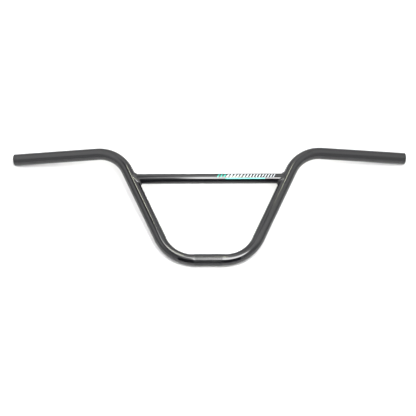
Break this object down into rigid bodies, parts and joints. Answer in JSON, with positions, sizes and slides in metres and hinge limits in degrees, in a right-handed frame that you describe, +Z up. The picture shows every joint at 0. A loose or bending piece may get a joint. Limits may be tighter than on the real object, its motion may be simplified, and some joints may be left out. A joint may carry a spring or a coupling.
{
  "type": "bmx handlebar",
  "caption": "Bent steel BMX handlebar with a welded crossbar, swept-back grips, open tube ends and a knurled stem clamp, painted gloss black.",
  "frame": {"origin": "middle of the stem clamp, on the main tube's centre line", "axes": "+X along the clamp, +Y along the floor from the clamp to the grips, +Z up; the bar lies at rest on the clamp's underside and the two grip ends, with its front face up"},
  "size_m": [0.7406, 0.2415, 0.0558],
  "materials": {
    "black_paint": "gloss"
  },
  "bodies": {
    "root": {"main_tube": "black_paint", "crossbar": "black_paint", "crossbar_welds": "black_paint"}
  },
  "joints": []
}
